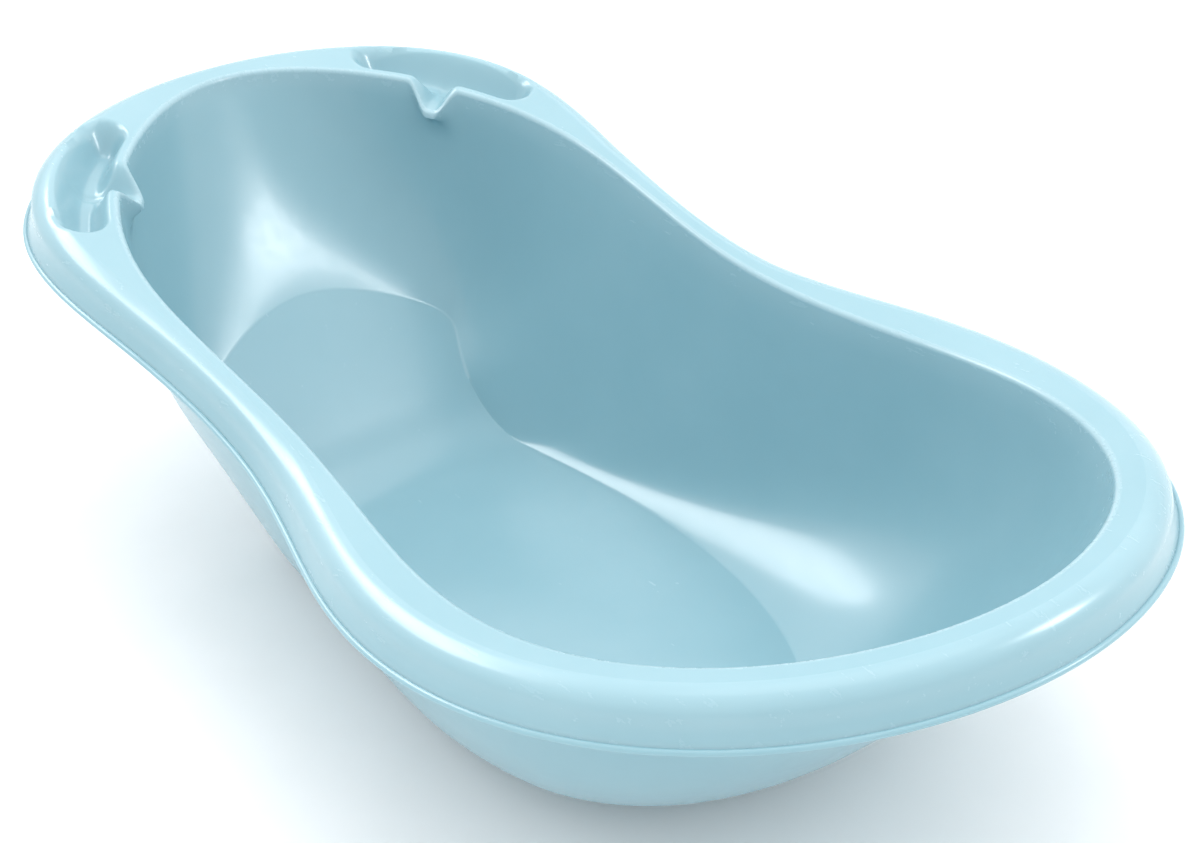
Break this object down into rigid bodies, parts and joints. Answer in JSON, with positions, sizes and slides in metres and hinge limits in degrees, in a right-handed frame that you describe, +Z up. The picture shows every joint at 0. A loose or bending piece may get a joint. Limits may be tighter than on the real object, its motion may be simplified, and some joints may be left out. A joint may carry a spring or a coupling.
{
  "type": "baby bathtub",
  "caption": "Hourglass baby bath with rolled rim, soap trays with pouring lips, sloping back rest, lift-out drain stopper and soft foot pads.",
  "frame": {"origin": "bottom centre of the tub, on the surface that its foot pads stand on", "axes": "+X towards the foot end, +Y across the tub, +Z up"},
  "size_m": [0.8412, 0.4908, 0.2704],
  "materials": {
    "tub_plastic": "glossy injection-moulded polypropylene, pale blue",
    "stopper_plastic": "satin moulded polypropylene, off-white",
    "seal_rubber": "soft matt rubber, grey",
    "pad_rubber": "soft matt rubber, grey"
  },
  "bodies": {
    "tub": {"tub_shell": "tub_plastic", "foot_pad_head_left": "pad_rubber", "foot_pad_head_right": "pad_rubber", "foot_pad_foot_left": "pad_rubber", "foot_pad_foot_right": "pad_rubber"},
    "stopper": {"drain_stopper": "stopper_plastic", "stopper_seal": "seal_rubber"},
    "pull_ring": {"pull_ring": "stopper_plastic"}
  },
  "joints": [
    {"name": "stopper_lift", "type": "slide", "parent": "tub", "child": "stopper", "axis": [0, 0, 1], "range_m": [0, 0.06]},
    {"name": "pull_ring_hinge", "type": "hinge", "parent": "stopper", "child": "pull_ring", "pos_m": [0.15, 0, 0.01555], "axis": [0, -1, 0], "range_deg": [0, 180]}
  ]
}
